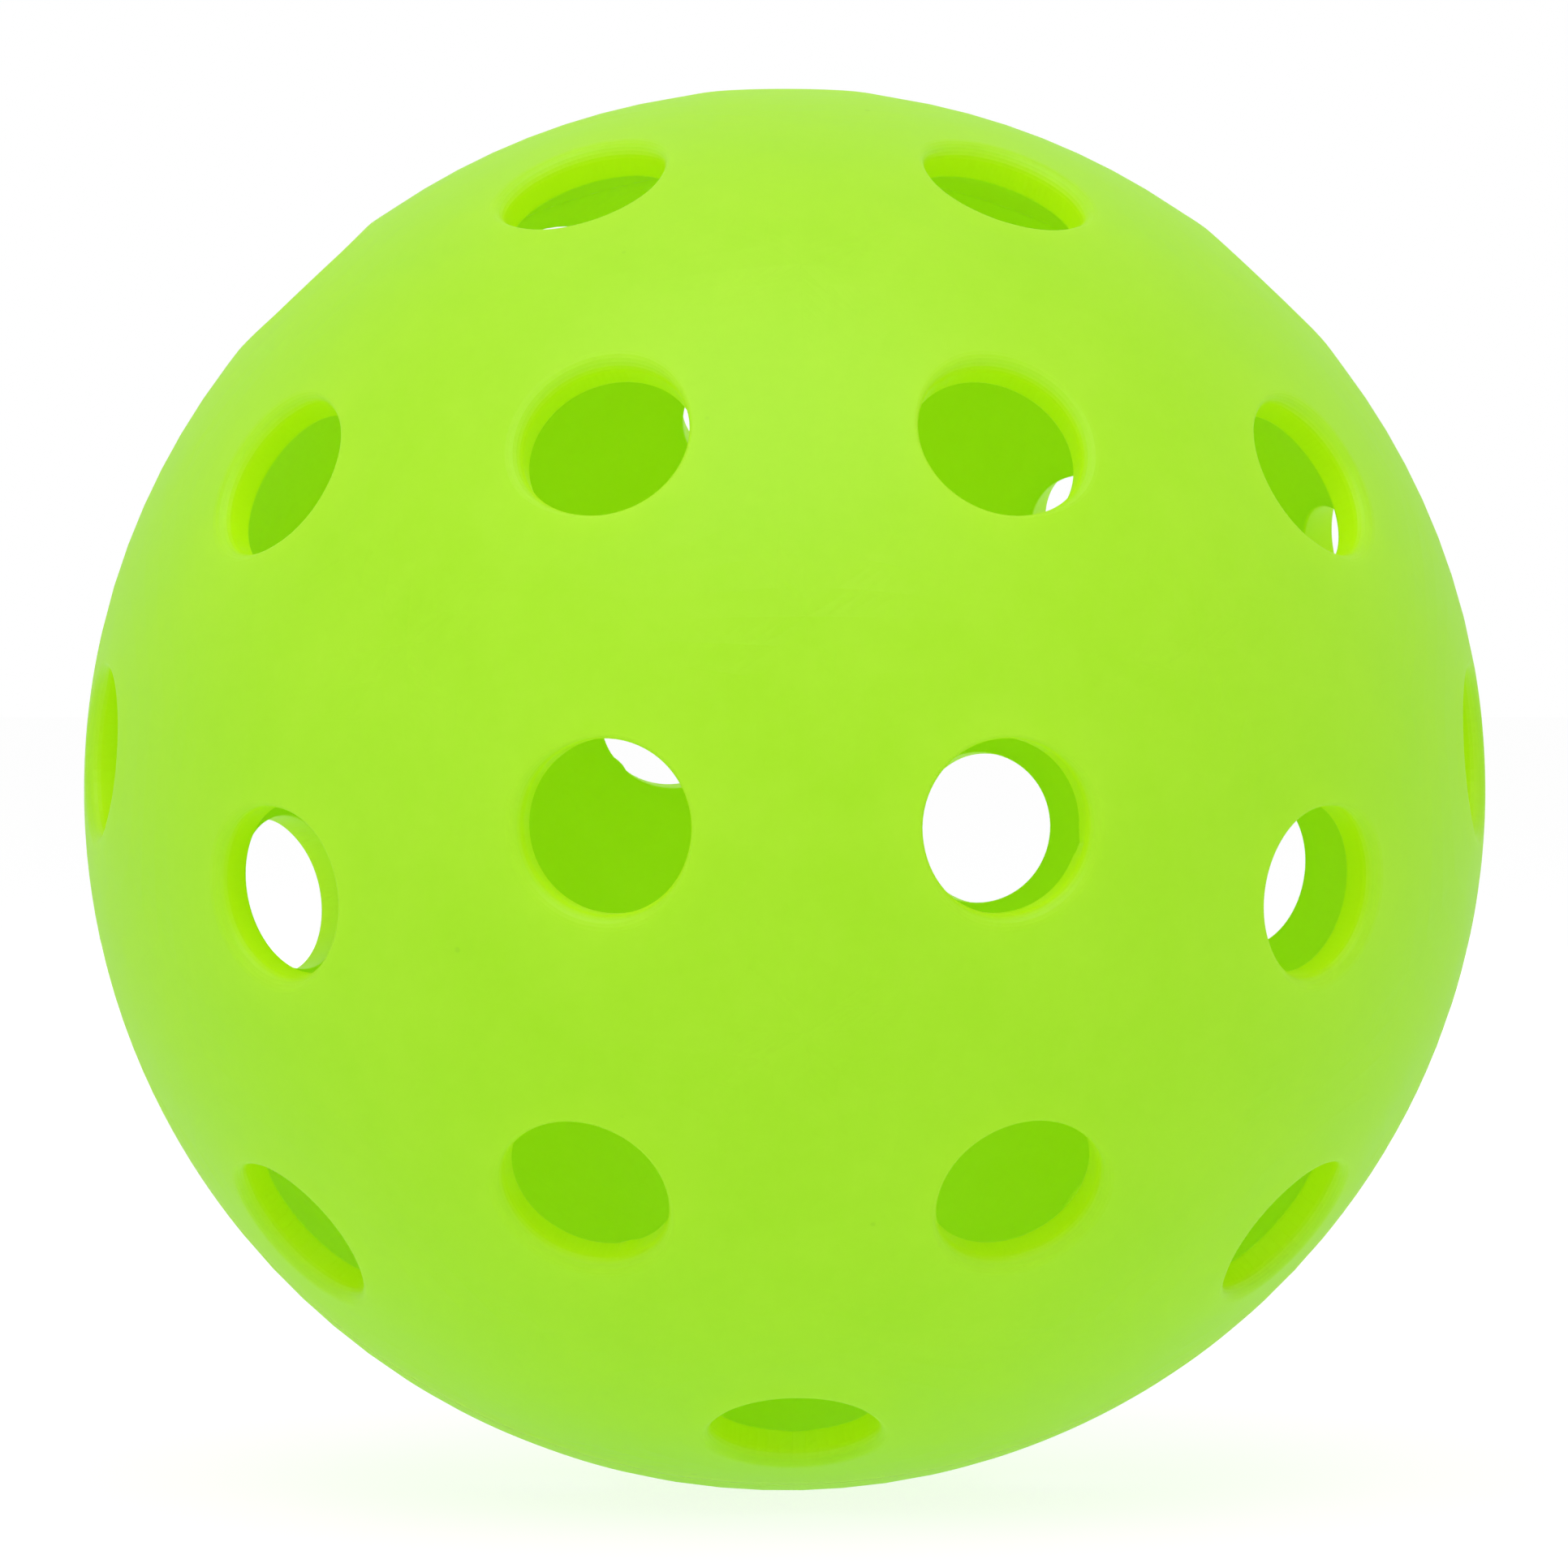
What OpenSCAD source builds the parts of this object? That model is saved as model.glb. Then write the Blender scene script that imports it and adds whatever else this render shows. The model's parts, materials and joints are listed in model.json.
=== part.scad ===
// Outdoor pickleball: two perforated half balls, lapped and welded at the equator.
// Each half is moulded with its pole on +Z and its holes counted round the pole from +Y.
// The finished ball has its centre at the origin. The tether hole, the first hole of the front half's
// outer ring, points straight up.

/* [Ball] */
// Outer diameter of the ball
ball_d = 74; // [66:0.1:82]
// Thickness of the shell
wall = 1.9; // [1.4:0.05:2.6]

/* [Holes] */
// Diameter of every hole, where its wall is straight
hole_d = 8.6; // [6:0.1:10.6]
// Radius of the rounded edge round a hole, on the outside
rim_round = 0.35; // [0.2:0.05:0.8]

/* [Hole pattern of one half] */
// Angle from the pole to the inner ring of holes
ring_1_polar = 22.1; // [20:0.1:25]
// Angle from the pole to the middle ring of holes
ring_2_polar = 49.9; // [47:0.1:52]
// Angle from the pole to the outer ring of holes
ring_3_polar = 75.8; // [73:0.1:77]
// Holes in the inner ring
ring_1_holes = 4; // [3:1:5]
// Holes in the middle ring
ring_2_holes = 8; // [6:1:9]
// Holes in the outer ring
ring_3_holes = 8; // [6:1:10]
// Azimuth of the inner ring's first hole
ring_1_start = 45; // [0:0.5:90]
// Azimuth of the middle ring's first hole
ring_2_start = 22.5; // [0:0.5:45]

/* [Joint of the halves] */
// Turn of the rear half about the pole, against the front half
rear_turn = 21.2; // [0:0.1:45]
// How far the front half's spigot reaches past the equator
spigot_length = 1.8; // [1:0.1:2.4]
// Gap between the spigot and the rebate round it
spigot_clearance = 0.05; // [0.02:0.01:0.15]
// Gap between the spigot's end and the rebate's shoulder
spigot_end_clearance = 0.05; // [0.03:0.01:0.3]
// Width of the weld between the two outer lips
weld_width = 0.8; // [0.4:0.1:1.4]

/* [Hidden] */
$fn = 120;
ball_r = ball_d / 2;
inner_r = ball_r - wall;
hole_r = hole_d / 2;
// The lap splits the wall in two: the spigot inside, the outer lip and the weld round it
spigot_r = ball_r - wall / 2;
rebate_r = spigot_r + spigot_clearance;
rebate_depth = spigot_length + spigot_end_clearance;
// The rounded edge of a hole is a little less than a quarter round, and meets the ball's surface
// this far from the hole's axis, leaning into the hole by this many degrees
rim_r = hole_r + 0.95 * rim_round;
rim_lean = 6;
rim_angle = asin(rim_r / ball_r);
rim_slope = rim_angle - rim_lean;
rim_centre = [rim_r - rim_round * sin(rim_slope), ball_r * cos(rim_angle) - rim_round * cos(rim_slope)];
// Cutting solids reach this far past what they cut
over = 1;
shell_colour = [0.69, 0.91, 0.22];
weld_colour = [0.62, 0.86, 0.18];

// Section through the ball, drawn beside the pole's axis
module half_disc(r) {
    intersection() {
        circle(r);
        translate([0, -r])
            square([r, 2 * r]);
    }
}

// Section of the wall above the height z_low
module wall_section(z_low) {
    difference() {
        half_disc(ball_r);
        circle(inner_r);
        translate([-over, -ball_r - over])
            square([ball_r + 2 * over, z_low + ball_r + over]);
    }
}

// Section of one hole's cutter: a straight hole that opens into the rounded edge
module hole_section() {
    translate([0, inner_r / 2])
        square([hole_r, ball_r]);
    difference() {
        translate([0, rim_centre.y])
            square([rim_r, ball_r + over - rim_centre.y]);
        translate(rim_centre)
            circle(rim_round);
    }
}

// Cutter of one hole, through the wall at the given angle from the pole and azimuth from +Y
module hole_cut(polar, azimuth) {
    rotate([0, 0, -azimuth])
        rotate([-polar, 0, 0])
            rotate_extrude()
                hole_section();
}

module ring_of_holes(polar, count, start) {
    for (i = [0:count - 1])
        hole_cut(polar, start + i * 360 / count);
}

// All the holes of one half
module half_pattern() {
    ring_of_holes(ring_1_polar, ring_1_holes, ring_1_start);
    ring_of_holes(ring_2_polar, ring_2_holes, ring_2_start);
    ring_of_holes(ring_3_polar, ring_3_holes, 0);
}

// Turns the mould's frame so that the outer ring's first hole points straight up
module stand_up() {
    rotate([ring_3_polar, 0, 0])
        children();
}

// The spigot side: the wall stops half a weld above the equator, and the spigot goes on past it
module front_half_shell() {
    color(shell_colour)
        stand_up()
            difference() {
                rotate_extrude() {
                    wall_section(weld_width / 2);
                    translate([inner_r, -spigot_length])
                        square([spigot_r - inner_r, spigot_length]);
                    intersection() {
                        wall_section(0);
                        square([spigot_r, weld_width]);
                    }
                }
                half_pattern();
            }
}

// The rebate side: the same half turned over, with the inner half of its lip cut away for the spigot
module rear_half_shell() {
    color(shell_colour)
        stand_up()
            rotate([0, 0, -rear_turn])
                rotate([0, 180, 0])
                    difference() {
                        rotate_extrude()
                            difference() {
                                wall_section(weld_width / 2);
                                square([rebate_r, rebate_depth]);
                            }
                        half_pattern();
                    }
}

// Remelted plastic between the outer lips, seated on the spigot and flush with the ball
module weld_seam() {
    color(weld_colour)
        stand_up()
            rotate_extrude()
                intersection() {
                    half_disc(ball_r);
                    translate([spigot_r, -weld_width / 2])
                        square([wall, weld_width]);
                }
}

front_half_shell();
rear_half_shell();
weld_seam();
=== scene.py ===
"""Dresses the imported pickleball: two perforated half balls of lime-green plastic and their weld."""
import json
import math

import bmesh
import bpy
from mathutils import Matrix, Vector


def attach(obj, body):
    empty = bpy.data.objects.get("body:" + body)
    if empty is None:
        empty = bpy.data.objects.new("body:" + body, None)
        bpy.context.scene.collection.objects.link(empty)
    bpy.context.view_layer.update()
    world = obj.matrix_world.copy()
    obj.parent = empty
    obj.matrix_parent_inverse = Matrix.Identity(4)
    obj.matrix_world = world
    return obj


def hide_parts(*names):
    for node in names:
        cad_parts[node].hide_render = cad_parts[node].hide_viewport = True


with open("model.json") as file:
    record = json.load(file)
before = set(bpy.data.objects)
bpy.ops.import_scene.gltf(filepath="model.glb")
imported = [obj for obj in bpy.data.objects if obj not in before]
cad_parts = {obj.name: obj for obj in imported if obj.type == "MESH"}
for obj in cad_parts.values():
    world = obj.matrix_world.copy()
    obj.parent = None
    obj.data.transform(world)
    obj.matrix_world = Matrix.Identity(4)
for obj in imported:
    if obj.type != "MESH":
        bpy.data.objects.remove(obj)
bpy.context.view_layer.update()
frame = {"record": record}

# Front half shell
# Half of the ball, injection moulded in lime-green plastic, with 20 round holes in three rings about its
# pole. The mould draws off along the pole, so a hole's edge is tight on the pole's side and rounder on the
# other. A thin spigot past the open edge fits inside the rear half.
mounts = {mount["name"]: mount for mount in frame["record"]["mounts"]}
ball_radius = -mounts["ball_seat"]["pos_m"][2]
hole_radius = mounts["tether_hole"]["dims"]["r_mm"] / 1000
wall = 0.0019
spigot_radius = ball_radius - wall / 2
spigot_length = 0.0018
weld_width = 0.0008
outer_ring_angle = math.radians(75.8)
hole_rings = (("Inner Ring Angle", 4, 45), ("Middle Ring Angle", 8, 22.5), ("Outer Ring Angle", 8, 0))
ring_angles = {
    "Inner Ring Angle": math.radians(22.1),
    "Middle Ring Angle": math.radians(49.9),
    "Outer Ring Angle": outer_ring_angle,
}
half_sizes = {
    "Ball Radius": ball_radius,
    "Wall": wall,
    "Hole Radius": hole_radius,
    "Pole Edge Round": 0.0002,
    "Pole Edge Rise": 0.00006,
    "Rise Reach": 0.006,
    "Far Edge Round": 0.0007,
    "Inside Edge Round": 0.00014,
    **ring_angles,
    "Lip Height": weld_width / 2,
    "Lap Radius": spigot_radius,
    "Lap Height": -spigot_length,
    "Flaw Reach": 0.0007,
}


class Field:
    """A number or a vector that a node tree works out, so that nodes read as plain sums."""

    def __init__(self, make, socket):
        self.make = make
        self.socket = socket

    def __add__(self, other):
        return self.make.combine("ADD", self, other)

    def __sub__(self, other):
        return self.make.combine("SUBTRACT", self, other)

    def __rsub__(self, other):
        return self.make.combine("SUBTRACT", other, self)

    def __mul__(self, other):
        return self.make.combine("MULTIPLY", self, other)

    def __truediv__(self, other):
        return self.make.combine("DIVIDE", self, other)

    def __lt__(self, other):
        return self.make.combine("LESS_THAN", self, other)

    def __gt__(self, other):
        return self.make.combine("GREATER_THAN", self, other)

    @property
    def is_vector(self):
        return self.socket.type == "VECTOR"


class NodeMaker:
    """Adds nodes to one tree in short calls. Inputs are numbers, vectors or other nodes' fields."""

    def __init__(self, tree):
        self.tree = tree

    def put(self, socket, value):
        if isinstance(value, Field):
            self.tree.links.new(value.socket, socket)
        else:
            socket.default_value = value

    def node(self, kind, inputs=None, **settings):
        made = self.tree.nodes.new(kind)
        for key, value in settings.items():
            setattr(made, key, value)
        for key, value in (inputs or {}).items():
            self.put(made.inputs[key], value)
        return made

    def get(self, kind, inputs=None, output=0, **settings):
        return Field(self, self.node(kind, inputs, **settings).outputs[output])

    def math(self, operation, *values):
        return self.get("ShaderNodeMath", dict(enumerate(values)), operation=operation)

    def vector(self, operation, *values, output="Vector"):
        return self.get("ShaderNodeVectorMath", dict(enumerate(values)), output, operation=operation)

    def combine(self, operation, one, other):
        vectors = [value for value in (one, other)
                   if isinstance(value, tuple) or getattr(value, "is_vector", False)]
        if not vectors:
            return self.math(operation, one, other)
        if operation == "MULTIPLY" and len(vectors) == 1:
            inputs = {"Vector": vectors[0], "Scale": other if vectors[0] is one else one}
            return self.get("ShaderNodeVectorMath", inputs, operation="SCALE")
        return self.vector(operation, one, other)

    def unit(self, vector):
        return self.vector("NORMALIZE", vector)

    def dot(self, one, other):
        return self.vector("DOT_PRODUCT", one, other, output="Value")

    def xyz(self, **parts):
        return self.get("ShaderNodeCombineXYZ", parts)

    def part(self, vector, letter):
        return self.get("ShaderNodeSeparateXYZ", {"Vector": vector}, letter)

    def ramp(self, value, start, end, low, high, kind="LINEAR"):
        inputs = {"Value": value, 1: start, 2: end, 3: low, 4: high}
        return self.get("ShaderNodeMapRange", inputs, interpolation_type=kind)

    def choose(self, test, yes, no):
        kind = "VECTOR" if yes.is_vector else "FLOAT"
        return self.get("GeometryNodeSwitch", {"Switch": test, "True": yes, "False": no}, input_type=kind)

    def join(self, *parts):
        made = self.node("GeometryNodeJoinGeometry")
        for part in parts:
            self.put(made.inputs[0], part)
        return Field(self, made.outputs[0])

    def store(self, geometry, name, value, domain):
        kind = "FLOAT_VECTOR" if value.is_vector else "FLOAT"
        inputs = {"Geometry": geometry, "Name": name, "Value": value}
        return self.get("GeometryNodeStoreNamedAttribute", inputs, data_type=kind, domain=domain)

    def stored(self, name, kind):
        return self.get("GeometryNodeInputNamedAttribute", {"Name": name}, data_type=kind)

    def nearest(self, geometry, value, place):
        index = self.get("GeometryNodeSampleNearest", {"Geometry": geometry, "Sample Position": place})
        kind = "FLOAT_VECTOR" if value.is_vector else "FLOAT"
        inputs = {"Geometry": geometry, "Value": value, "Index": index}
        return self.get("GeometryNodeSampleIndex", inputs, data_type=kind)

    def keep(self, geometry, selection, domain):
        inputs = {"Geometry": geometry, "Selection": selection}
        return self.get("GeometryNodeSeparateGeometry", inputs, domain=domain)

    def blend(self, share, colour, other_colour):
        inputs = {"Factor": share, 6: colour, 7: other_colour}
        return self.get("ShaderNodeMix", inputs, 2, data_type="RGBA")


half_tree = bpy.data.node_groups.new("perforated half ball", "GeometryNodeTree")
half_tree.interface.new_socket("Geometry", in_out="OUTPUT", socket_type="NodeSocketGeometry")
half_tree.interface.new_socket("Lip Flaws", in_out="INPUT", socket_type="NodeSocketGeometry")
half_tree.interface.new_socket("Plastic", in_out="INPUT", socket_type="NodeSocketMaterial")
for name in half_sizes:
    half_tree.interface.new_socket(name, in_out="INPUT", socket_type="NodeSocketFloat")
make = NodeMaker(half_tree)
given = make.node("NodeGroupInput")
size = {name: Field(make, given.outputs[name]) for name in half_sizes}
position = make.get("GeometryNodeInputPosition")

# Directions of the hole axes about the pole, and about the mirrored pole to give the equator its border
rings = []
for name, holes, first in hole_rings:
    out = make.math("SINE", size[name])
    up = make.xyz(Z=make.math("COSINE", size[name]))
    turn = (0, 0, math.radians(first))
    circle = make.get("GeometryNodeMeshCircle", {"Vertices": holes, "Radius": out})
    placed = {"Geometry": circle, "Translation": up, "Rotation": turn}
    rings.append(make.get("GeometryNodeTransform", placed))
axes = make.join(*rings)
mirrored = make.get("GeometryNodeTransform", {"Geometry": axes, "Scale": (1, 1, -1)})

# One flat cell of plastic round each hole, which meets the next cells half way
near_equator = 0.01
hull = make.get("GeometryNodeConvexHull", {"Geometry": make.join(axes, mirrored)})
all_cells = make.get("GeometryNodeDualMesh", {"Mesh": hull})
cells = make.keep(all_cells, make.part(position, "Z") > near_equator, "FACE")

# Each side of a cell keeps the directions of its two corners and of its hole
cell_middle = make.get("GeometryNodeFieldOnDomain", {"Value": position},
                       domain="FACE", data_type="FLOAT_VECTOR")
axis_of_cell = make.nearest(axes, position, cell_middle)
next_corner = make.get("GeometryNodeOffsetCornerInFace", {"Offset": 1})
next_point = make.get("GeometryNodeVertexOfCorner", {"Corner Index": next_corner})
next_place = make.get("GeometryNodeFieldAtIndex", {"Value": position, "Index": next_point},
                      data_type="FLOAT_VECTOR")
cells = make.store(cells, "hole_axis", make.unit(axis_of_cell), "CORNER")
cells = make.store(cells, "from_corner", make.unit(position), "CORNER")
cells = make.store(cells, "to_corner", make.unit(next_place), "CORNER")
cell_sides = make.get("GeometryNodeMeshToPoints", {"Mesh": cells}, mode="CORNERS")

# A strip of quads stands on each side, and knows how far along the side and across the wall each corner is
strip_steps = 22


def strips_on(sides, rows):
    counts = {"Vertices X": strip_steps + 1, "Vertices Y": rows + 1}
    grid = make.get("GeometryNodeMeshGrid", {"Size X": 1.0, "Size Y": 1.0, **counts})
    grid = make.store(grid, "along", make.part(position, "X") + 0.5, "POINT")
    across = (make.part(position, "Y") + 0.5) * float(rows)
    grid = make.store(grid, "row", make.math("ROUND", across), "POINT")
    strips = make.get("GeometryNodeInstanceOnPoints", {"Points": sides, "Instance": grid})
    return make.get("GeometryNodeRealizeInstances", {"Geometry": strips})


along = make.stored("along", "FLOAT")
row = make.stored("row", "FLOAT")
hole_axis = make.stored("hole_axis", "FLOAT_VECTOR")
from_corner = make.stored("from_corner", "FLOAT_VECTOR")
to_corner = make.stored("to_corner", "FLOAT_VECTOR")


def level(vector):
    return make.unit(make.vector("MULTIPLY", vector, (1, 1, 0)))


def at_height(direction, height):
    return level(direction) * make.math("SQRT", 1.0 - height * height) + make.xyz(Z=height)


def other_leg(long_side, leg):
    return make.math("SQRT", long_side * long_side - leg * leg)


def on_arc(angle, radius, x=0.0, y=0.0):
    return make.xyz(X=make.math("SINE", angle) * radius + x, Y=make.math("COSINE", angle) * radius + y)


# Rows of quads across the wall, from the outside through a hole to the inside
stretches = {"outside": 4, "rise": 5, "edge": 6, "hole": 2, "inside edge": 2, "inside": 6}
last_row = {}
for stretch, rows in stretches.items():
    last_row[stretch] = rows + max(last_row.values(), default=0)
ball_r, hole_r = size["Ball Radius"], size["Hole Radius"]
inside_r = ball_r - size["Wall"]
shoulder = make.math("MAXIMUM", size["Lap Height"], 0.0)

# Where the cell ends: at its neighbours, or at the open edge on the equator
from_equator = make.part(from_corner, "Z") < near_equator
to_equator = make.part(to_corner, "Z") < near_equator
along_equator = from_equator * to_equator
outer_rows = row < last_row["edge"] + 0.5
edge_height = make.choose(outer_rows, size["Lip Height"] / ball_r, shoulder / inside_r)
start = make.choose(from_equator, at_height(from_corner, edge_height), from_corner)
end = make.choose(to_equator, at_height(to_corner, edge_height), to_corner)
straight = start * (1.0 - along) + end * along
border = make.choose(along_equator, at_height(straight, edge_height), make.unit(straight))
border_angle = make.math("ARCCOSINE", make.dot(border, hole_axis))
away = make.unit(border - hole_axis * make.dot(border, hole_axis))

# The section through the wall, drawn beside the hole's axis as distance from it and height along it
to_pole = make.unit(make.xyz(Z=1.0) - hole_axis * make.part(hole_axis, "Z"))
poleward = make.dot(away, to_pole)
turnover = 0.6


def by_side(far_side, pole_side):
    return make.ramp(poleward, -turnover, turnover, far_side, pole_side, "SMOOTHSTEP")


edge_round = by_side(size["Far Edge Round"], size["Pole Edge Round"])
risen_r = ball_r + by_side(0.0, size["Pole Edge Rise"])
edge_x = hole_r + edge_round
edge_y = other_leg(risen_r - edge_round, edge_x)
edge_angle = make.math("ARCSINE", edge_x / (risen_r - edge_round))
reach_angle = make.math("ARCSINE", size["Rise Reach"] / ball_r)
foot_x = hole_r + size["Inside Edge Round"]
foot_reach = inside_r + size["Inside Edge Round"]
foot_y = other_leg(foot_reach, foot_x)
mouth_angle = make.math("ARCSINE", foot_x / foot_reach)
sideways = -math.pi / 2


def over_rows(stretch, low, high, kind="LINEAR"):
    end = last_row[stretch]
    return make.ramp(row, float(end - stretches[stretch]), float(end), low, high, kind)


rise_r = over_rows("rise", ball_r, risen_r, "SMOOTHSTEP")
foot_angle = over_rows("inside edge", sideways, mouth_angle - math.pi)
sections = {
    "outside": on_arc(over_rows("outside", border_angle, reach_angle), ball_r),
    "rise": on_arc(over_rows("rise", reach_angle, edge_angle), rise_r),
    "edge": on_arc(over_rows("edge", edge_angle, sideways), edge_round, edge_x, edge_y),
    "hole": make.xyz(X=hole_r, Y=over_rows("hole", edge_y, foot_y)),
    "inside edge": on_arc(foot_angle, size["Inside Edge Round"], foot_x, foot_y),
    "inside": on_arc(over_rows("inside", mouth_angle, border_angle), inside_r),
}
section = sections["inside"]
for stretch in ("inside edge", "hole", "edge", "rise", "outside"):
    section = make.choose(row < last_row[stretch] + 0.5, sections[stretch], section)

# Burrs and nicks on the inside edge of a hole push it in or out near the points that the modifier is given
flaws = Field(make, given.outputs["Lip Flaws"])
lip = away * hole_r + hole_axis * foot_y
flaw_place = make.nearest(flaws, position, lip)
flaw_depth = make.nearest(flaws, make.stored("depth", "FLOAT"), lip)
flaw_distance = make.vector("DISTANCE", lip, flaw_place, output="Value")
flaw_fade = make.ramp(flaw_distance, 0.0, size["Flaw Reach"], 1.0, 0.0, "SMOOTHSTEP")
past_edge = make.ramp(row, float(last_row["inside edge"]), last_row["inside edge"] + 1.0, 1.0, 0.0)
flaw_rows = make.math("MINIMUM", over_rows("hole", 0.0, 1.0), past_edge)
section_x = make.part(section, "X") - flaw_depth * flaw_fade * flaw_rows
spot = away * section_x + hole_axis * make.part(section, "Y")
strips = strips_on(cell_sides, max(last_row.values()))

# The wall of a hole gets a painted glow, a brighter yellow-green in place of the light that the plastic
# carries into it, and is marked from half way down its outer edge
half_way = last_row["edge"] - stretches["edge"] / 2
into_hole = make.ramp(row, half_way, float(last_row["edge"]), 0.0, 1.0)
out_of_hole = over_rows("inside edge", 1.0, 0.0)
strips = make.store(strips, "edge_glow", make.math("MINIMUM", into_hole, out_of_hole), "POINT")
shell = make.get("GeometryNodeSetPosition", {"Geometry": strips, "Position": spot})

# The open edge: the outer lip, then the spigot or the rebate of the lap
edge_sides = make.keep(cell_sides, along_equator, "POINT")
lap_corners = [
    (other_leg(ball_r, size["Lip Height"]), size["Lip Height"]),
    (size["Lap Radius"], size["Lip Height"]),
    (size["Lap Radius"], size["Lap Height"]),
    (other_leg(inside_r, size["Lap Height"]), size["Lap Height"]),
    (other_leg(inside_r, shoulder), shoulder),
]


def by_row(values):
    switch = make.node("GeometryNodeIndexSwitch", data_type="FLOAT")
    while len(switch.index_switch_items) < len(values):
        switch.index_switch_items.new()
    make.put(switch.inputs["Index"], row)
    for place, value in enumerate(values, 1):
        make.put(switch.inputs[place], value)
    return Field(make, switch.outputs[0])


outwards = level(from_corner * (1.0 - along) + to_corner * along)
lap_radii, lap_heights = zip(*lap_corners)
lap_spot = outwards * by_row(lap_radii) + make.xyz(Z=by_row(lap_heights))
lap_rows = len(lap_corners) - 1
lap = strips_on(edge_sides, lap_rows)

# All the lap but its inner side touches the weld or the other half, and is marked to let light through
lap = make.store(lap, "touching", row < lap_rows - 1.0, "FACE")
lap = make.get("GeometryNodeSetPosition", {"Geometry": lap, "Position": lap_spot})
lap = make.get("GeometryNodeFlipFaces", {"Mesh": lap})

same_point = 2e-6
sharp_angle = math.radians(50)
whole = make.get("GeometryNodeMergeByDistance", {"Geometry": make.join(shell, lap), "Distance": same_point})
soft_edge = make.get("GeometryNodeInputMeshEdgeAngle") < sharp_angle
whole = make.get("GeometryNodeSetShadeSmooth", {"Geometry": whole, "Shade Smooth": soft_edge},
                 domain="EDGE")
for name in ("along", "row", "hole_axis", "from_corner", "to_corner"):
    whole = make.get("GeometryNodeRemoveAttribute", {"Geometry": whole, "Name": name})
whole = make.get("GeometryNodeRealizeInstances", {"Geometry": whole})
plastic = Field(make, given.outputs["Plastic"])
whole = make.get("GeometryNodeSetMaterial", {"Geometry": whole, "Material": plastic})
make.put(make.node("NodeGroupOutput").inputs[0], whole)

# Finish of the plastic: faint clouds and a few dark specks in its colour, a fine peel and a satin gloss
cloud_grain = {"Scale": 160.0, "Detail": 5.0, "Roughness": 0.8}
cloud_span = (0.3, 0.7)
speck_grain = {"Scale": 240.0}
speck_span = (0.03, 0.05)
speck_share = 0.2
speck_strength = 0.3
speck_colour = (0.2, 0.45, 0.01, 1)
# Painted glow: the hole walls are coloured a brighter yellow-green in place of the light that the plastic
# carries into them
hole_wall_colour = (0.70, 0.94, 0.0, 1)
peel_grain = {"Scale": 1300.0, "Detail": 3.0}
peel_strength = 0.5
peel_depth = 0.00002
scuff_grain = {"Scale": 160.0, "Detail": 5.0, "Roughness": 0.7}
scuff_span = (0.25, 0.75)
scuff = 0.06
gloss = 0.48
white = (1, 1, 1, 1)
light_through_colour = (0.735, 1.0, 0.0, 1)
light_through_share = 0.43


def satin_plastic(name, deep_colour, pale_colour, roughness):
    """Moulded plastic that lets light through, freely where two pieces touch, with a painted glow on its
    hole walls.
    """
    material = bpy.data.materials.new(name)
    material.use_nodes = True
    material.node_tree.nodes.clear()
    paint = NodeMaker(material.node_tree)
    where = paint.get("ShaderNodeTexCoord", output="Object")
    clouds = paint.get("ShaderNodeTexNoise", {"Vector": where, **cloud_grain})
    clouded = paint.ramp(clouds, *cloud_span, 0.0, 1.0)
    colour = paint.blend(clouded, (*deep_colour, 1), (*pale_colour, 1))
    specks = paint.node("ShaderNodeTexVoronoi", {"Vector": where, **speck_grain})
    speck = paint.ramp(Field(paint, specks.outputs["Distance"]), *speck_span, 1.0, 0.0)
    chance = paint.get("ShaderNodeSeparateColor", {"Color": Field(paint, specks.outputs["Color"])})
    colour = paint.blend(speck * (chance > 1 - speck_share) * speck_strength, colour, speck_colour)
    # Painted glow: the hole walls take the brighter yellow-green that stands in for light shed through the
    # plastic
    hole_wall = paint.get("ShaderNodeAttribute", output="Fac", attribute_name="edge_glow")
    colour = paint.blend(hole_wall, colour, hole_wall_colour)
    peel = paint.get("ShaderNodeTexNoise", {"Vector": where, **peel_grain})
    peeled = {"Height": peel, "Strength": peel_strength, "Distance": peel_depth}
    bump = paint.get("ShaderNodeBump", peeled)
    scuffs = paint.get("ShaderNodeTexNoise", {"Vector": where, **scuff_grain})
    surface = paint.get("ShaderNodeBsdfPrincipled", {
        "Base Color": colour,
        "Roughness": paint.ramp(scuffs, *scuff_span, roughness - scuff, roughness + scuff),
        "Normal": bump,
        "Specular IOR Level": gloss,
    })
    touching = paint.get("ShaderNodeAttribute", output="Fac", attribute_name="touching")
    tint = paint.blend(touching, light_through_colour, white)
    let_through = paint.get("ShaderNodeBsdfTranslucent", {"Color": tint, "Normal": bump})
    share = paint.ramp(touching, 0.0, 1.0, light_through_share, 1.0)
    whole = paint.get("ShaderNodeMixShader", {"Fac": share, 1: surface, 2: let_through})
    paint.put(paint.node("ShaderNodeOutputMaterial").inputs["Surface"], whole)
    return material


shell_plastic = satin_plastic("lime_satin_plastic", deep_colour=(0.488, 0.795, 0.012),
                              pale_colour=(0.543, 0.829, 0.030), roughness=0.45)


def lip_point(ring, azimuth, clock):
    """A point on a hole's inside edge, at so many degrees round it from the side away from the pole."""
    lean, clock = ring_angles[ring], math.radians(clock)
    turn = Matrix.Rotation(-math.radians(azimuth), 3, "Z")
    axis = turn @ Vector((0, math.sin(lean), math.cos(lean)))
    down = turn @ Vector((0, math.cos(lean), -math.sin(lean)))
    across = down * math.cos(clock) + axis.cross(down) * math.sin(clock)
    return axis * math.sqrt((ball_radius - wall) ** 2 - hole_radius ** 2) + across * hole_radius


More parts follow.
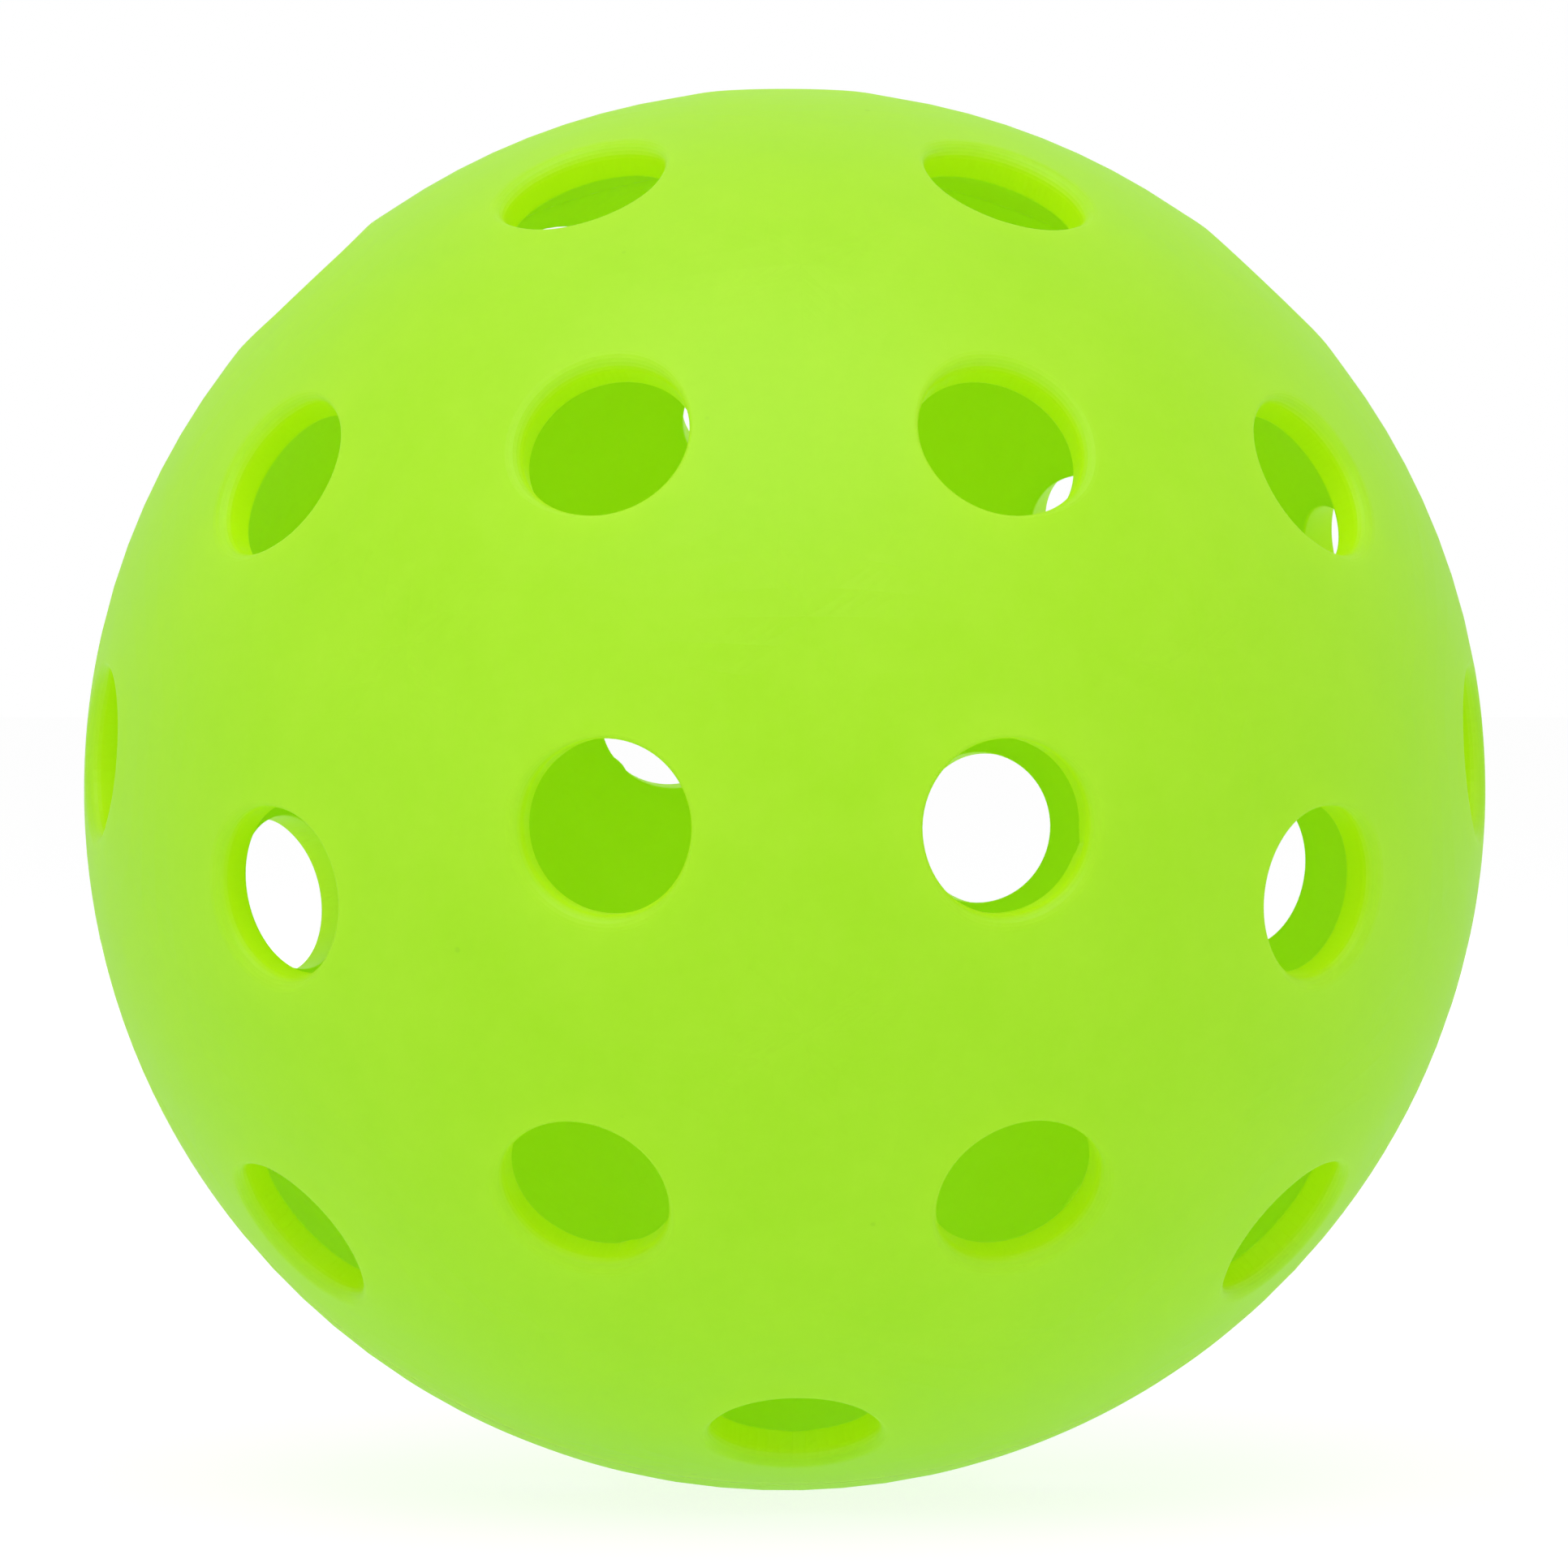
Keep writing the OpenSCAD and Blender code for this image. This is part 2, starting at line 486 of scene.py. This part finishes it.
def half_shell(name, sizes, flaws, place):
    """One half ball as a plain mesh, turned from the mould's frame to its place in the ball."""
    points = bpy.data.meshes.new(name)
    points.from_pydata([lip_point(*spot) for *spot, depth in flaws], [], [])
    depths = points.attributes.new("depth", "FLOAT", "POINT")
    depths.data.foreach_set("value", [depth for *spot, depth in flaws])
    piece = bpy.data.objects.new(name, points)
    bpy.context.scene.collection.objects.link(piece)
    modifier = piece.modifiers.new("half", "NODES")
    modifier.node_group = half_tree
    values = {**sizes, "Plastic": shell_plastic}
    for socket in half_tree.interface.items_tree:
        if socket.in_out == "INPUT" and socket.name in values:
            modifier[socket.identifier] = values[socket.name]
    graph = bpy.context.evaluated_depsgraph_get()
    mesh = bpy.data.meshes.new_from_object(piece.evaluated_get(graph))
    piece.modifiers.clear()
    piece.data = mesh
    mesh.transform(place)
    return piece


# Flaws: ring, azimuth and clock of the place, then the depth, into the hole for a burr and out for a nick
front_flaws = [
    ("Inner Ring Angle", 135, 34, -0.00014),
    ("Inner Ring Angle", 315, 100, 0.00016),
    ("Outer Ring Angle", 180, 4, -0.00022),
    ("Middle Ring Angle", 202.5, 40, 0.00010),
    ("Middle Ring Angle", 67.5, 210, -0.00012),
]
stand_up = Matrix.Rotation(outer_ring_angle, 4, "X")
front_half = half_shell("front_half", half_sizes, front_flaws, stand_up)
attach(front_half, "root")
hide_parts("front_half_shell")

# Rear half shell
# The same moulding turned over, so its pole faces away, and turned about the pole against the front half.
# A rebate in the inner half of its lip takes the front half's spigot, which is pressed home, so that hardly
# a line shows on the inside.
rear_turn = math.radians(21.2)
spigot_clearance = 0.00005
rebate_depth = 0.00181
rebate_radius = spigot_radius + spigot_clearance
rear_sizes = {**half_sizes, "Lap Radius": rebate_radius, "Lap Height": rebate_depth}
rear_flaws = [
    ("Inner Ring Angle", 45, 250, 0.00014),
    ("Middle Ring Angle", 157.5, 120, -0.00016),
    ("Middle Ring Angle", 292.5, 300, 0.00012),
    ("Outer Ring Angle", 90, 70, -0.00012),
    ("Outer Ring Angle", 225, 200, 0.00015),
]
turned_over = stand_up @ Matrix.Rotation(-rear_turn, 4, "Z") @ Matrix.Rotation(math.pi, 4, "Y")
rear_half = half_shell("rear_half", rear_sizes, rear_flaws, turned_over)
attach(rear_half, "root")
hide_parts("rear_half_shell")

# Weld seam
# A ring of plastic that was melted again where the two outer lips meet, and sits on the spigot.
# It is dressed nearly flush with the ball, so only its two fine edges show.
weld_sink = 0.000005
weld_edge_round = 0.00003
weld_steps = 240
arc_steps = 4
sharp_weld_angle = math.radians(40)
half_width = weld_width / 2


def weld_section():
    """Corners of the ring's section: distance from the pole's axis, and height above the equator."""
    corners = [(spigot_radius, half_width), (spigot_radius, -half_width)]
    for end, first in ((-1, -math.pi / 2), (1, 0.0)):
        for step in range(arc_steps + 1):
            angle = first + math.pi / 2 * step / arc_steps
            height = end * (half_width - weld_edge_round) + weld_edge_round * math.sin(angle)
            skin = math.sqrt(ball_radius ** 2 - height ** 2) - weld_sink
            corners.append((skin - weld_edge_round * (1 - math.cos(angle)), height))
    return corners


weld = bmesh.new()
touching = weld.faces.layers.float.new("touching")
corners = weld_section()

# The sides of the ring that sit on the spigot and against the two lips let light through
hidden_sides = (0, 1, len(corners) - 1)
hoops = []
for step in range(weld_steps):
    angle = 2 * math.pi * step / weld_steps
    hoops.append([weld.verts.new((r * math.cos(angle), r * math.sin(angle), z)) for r, z in corners])
for step, hoop in enumerate(hoops):
    next_hoop = hoops[(step + 1) % weld_steps]
    for place in range(len(corners)):
        ahead = (place + 1) % len(corners)
        face = weld.faces.new((hoop[place], next_hoop[place], next_hoop[ahead], hoop[ahead]))
        face.smooth = True
        face[touching] = float(place in hidden_sides)
bmesh.ops.recalc_face_normals(weld, faces=weld.faces)
weld_mesh = bpy.data.meshes.new("weld")
weld.to_mesh(weld_mesh)
weld.free()
weld_mesh.transform(stand_up)
weld_mesh.set_sharp_from_angle(angle=sharp_weld_angle)
weld_plastic = satin_plastic("remelted_lime_plastic", deep_colour=(0.478, 0.785, 0.012),
                             pale_colour=(0.533, 0.819, 0.030), roughness=0.42)
weld_mesh.materials.append(weld_plastic)
weld_ring = bpy.data.objects.new("weld", weld_mesh)
bpy.context.scene.collection.objects.link(weld_ring)
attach(weld_ring, "root")
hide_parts("weld_seam")

# Floor
# A sheet of white paper on a light table. Its even glow runs out to the white all round and keeps the
# underside of the ball light, with a little of the green that the ball sheds on it. It still takes the
# ball's soft shadow.
floor_half = 4.0
corner_signs = ((-1, -1), (1, -1), (1, 1), (-1, 1))
paper_glow = 0.78
paper_share = 0.3
green_glow = (0.82, 1, 0.6, 1)
paper = bpy.data.materials.new("white_paper")
paper.use_nodes = True
paper.node_tree.nodes.clear()
sheet = NodeMaker(paper.node_tree)


def seen_straight(maker):
    """One for the rays that show the background: seen by the camera, mirrored, or let through."""
    rays = maker.node("ShaderNodeLightPath")
    seen = 0.0
    for sort in ("Camera", "Glossy", "Transmission"):
        seen = maker.math("MAXIMUM", seen, Field(maker, rays.outputs[f"Is {sort} Ray"]))
    return seen


glow_colour = sheet.blend(seen_straight(sheet), green_glow, white)
glow = sheet.get("ShaderNodeEmission", {"Color": glow_colour, "Strength": paper_glow})
shaded = sheet.get("ShaderNodeBsdfDiffuse", {"Color": (paper_share, paper_share, paper_share, 1)})
shown = sheet.get("ShaderNodeAddShader", {0: glow, 1: shaded})
sheet.put(sheet.node("ShaderNodeOutputMaterial").inputs["Surface"], shown)
floor_mesh = bpy.data.meshes.new("floor")
floor_corners = [(x * floor_half, y * floor_half, -ball_radius) for x, y in corner_signs]
floor_mesh.from_pydata(floor_corners, [], [(0, 1, 2, 3)])
floor_mesh.materials.append(paper)
floor = bpy.data.objects.new("floor", floor_mesh)
bpy.context.scene.collection.objects.link(floor)

# Light
# An even white tent of light round the ball, one large soft box above it, a small one at the left of the
# camera, and one behind that shines through the rear half and is out of sight.
tent_level = 0.69
lamps = {
    "soft_box": {"place": Vector((-0.06, -0.33, 0.62)), "side": 0.7, "watts": 2.5, "in_sight": True},
    "fill_box": {"place": Vector((-0.60, -0.36, 0.05)), "side": 0.45, "watts": 0.25, "in_sight": True},
    "back_box": {"place": Vector((0.10, 0.70, 0.12)), "side": 0.5, "watts": 1.15, "in_sight": False},
}
world = bpy.data.worlds.new("white_tent")
bpy.context.scene.world = world
world.use_nodes = True
world.node_tree.nodes.clear()
tent = NodeMaker(world.node_tree)
strength = tent.ramp(seen_straight(tent), 0.0, 1.0, tent_level, 1.0)
around = tent.get("ShaderNodeBackground", {"Color": white, "Strength": strength})
tent.put(tent.node("ShaderNodeOutputWorld").inputs["Surface"], around)
for name, lamp in lamps.items():
    light = bpy.data.lights.new(name, "AREA")
    light.size = lamp["side"]
    light.energy = lamp["watts"]
    stand = bpy.data.objects.new(name, light)
    stand.location = lamp["place"]
    stand.rotation_euler = (-lamp["place"]).to_track_quat("-Z", "Y").to_euler()
    stand.visible_camera = lamp["in_sight"]
    stand.visible_glossy = lamp["in_sight"]
    bpy.context.scene.collection.objects.link(stand)

# Camera
# A long lens nearly level with the ball. The ball's outline in the photograph gives its distance and
# framing.
picture_side = 1932
outline_centre = (966.85, 973.03)
outline_radius = 863.4
camera_azimuth = math.radians(-1.70)
camera_elevation = math.radians(1.11)
camera_radii = 11.29
sensor = 36.0
level_share = math.cos(camera_elevation)
back = Vector((math.sin(camera_azimuth) * level_share, -math.cos(camera_azimuth) * level_share,
               math.sin(camera_elevation)))
focal_pixels = outline_radius / math.tan(math.asin(1 / camera_radii))
lens = bpy.data.cameras.new("camera")
lens.sensor_width = sensor
lens.lens = sensor * focal_pixels / picture_side
lens.shift_x = (picture_side / 2 - outline_centre[0]) / picture_side
lens.shift_y = (outline_centre[1] - picture_side / 2) / picture_side
lens.clip_start = 0.01
camera = bpy.data.objects.new("camera", lens)
camera.location = back * camera_radii * ball_radius
camera.rotation_euler = (-back).to_track_quat("-Z", "Y").to_euler()
bpy.context.scene.collection.objects.link(camera)
bpy.context.scene.camera = camera
bpy.context.scene.view_settings.view_transform = "Standard"
